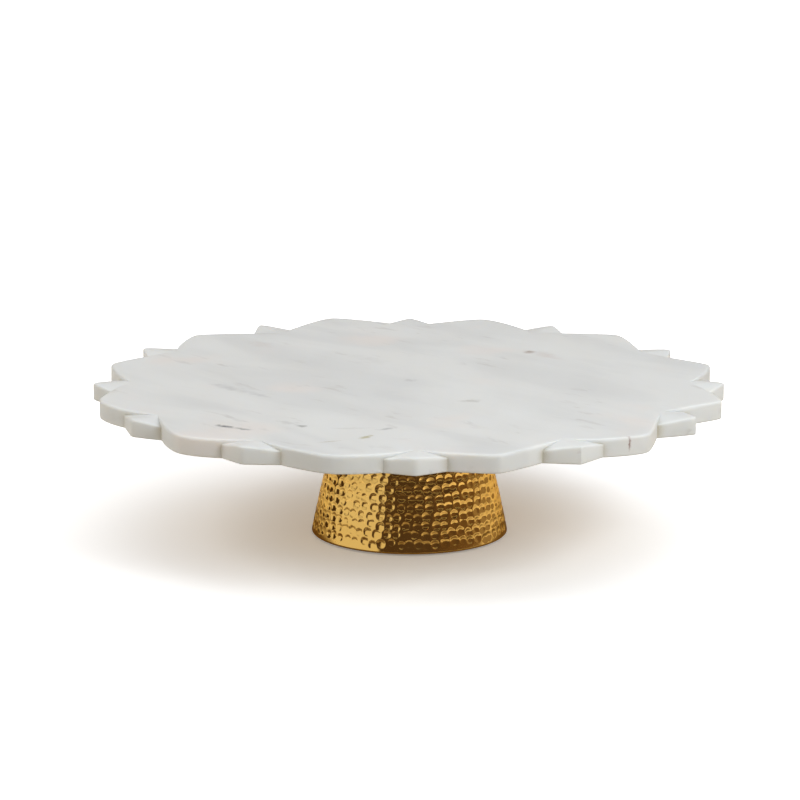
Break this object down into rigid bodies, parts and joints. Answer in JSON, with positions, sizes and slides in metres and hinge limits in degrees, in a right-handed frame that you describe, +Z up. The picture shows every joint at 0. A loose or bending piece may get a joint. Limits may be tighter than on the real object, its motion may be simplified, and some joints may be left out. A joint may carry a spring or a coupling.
{
  "type": "cake stand",
  "caption": "Round pedestal cake stand: a flat marble plate with a lotus-cut rim, bolted on a flared hollow hammered metal foot.",
  "frame": {"origin": "on the table, at the centre of the pedestal, level with the underside of the foot pads", "axes": "+Z up along the pedestal's axis; +X and +Y each point at the tip of a small petal"},
  "size_m": [0.3048, 0.3048, 0.0745],
  "materials": {
    "marble": "white marble, honed and softly polished, faint grey veins",
    "hammered_gold": "hammered and polished, warm gold",
    "zinc_steel": "zinc plated",
    "plain_brass": "plain machined",
    "cushion": "translucent white, matte",
    "pad_rubber": "matte black"
  },
  "bodies": {
    "root": {"marble_plate": "marble", "threaded_insert": "plain_brass", "cushion_washer": "cushion", "pedestal_shell": "hammered_gold", "foot_ring": "plain_brass", "mounting_disc": "zinc_steel", "flat_washer": "zinc_steel", "lock_washer": "zinc_steel", "clamp_screw": "zinc_steel", "foot_pad_1": "pad_rubber", "foot_pad_2": "pad_rubber", "foot_pad_3": "pad_rubber", "foot_pad_4": "pad_rubber"}
  },
  "joints": []
}
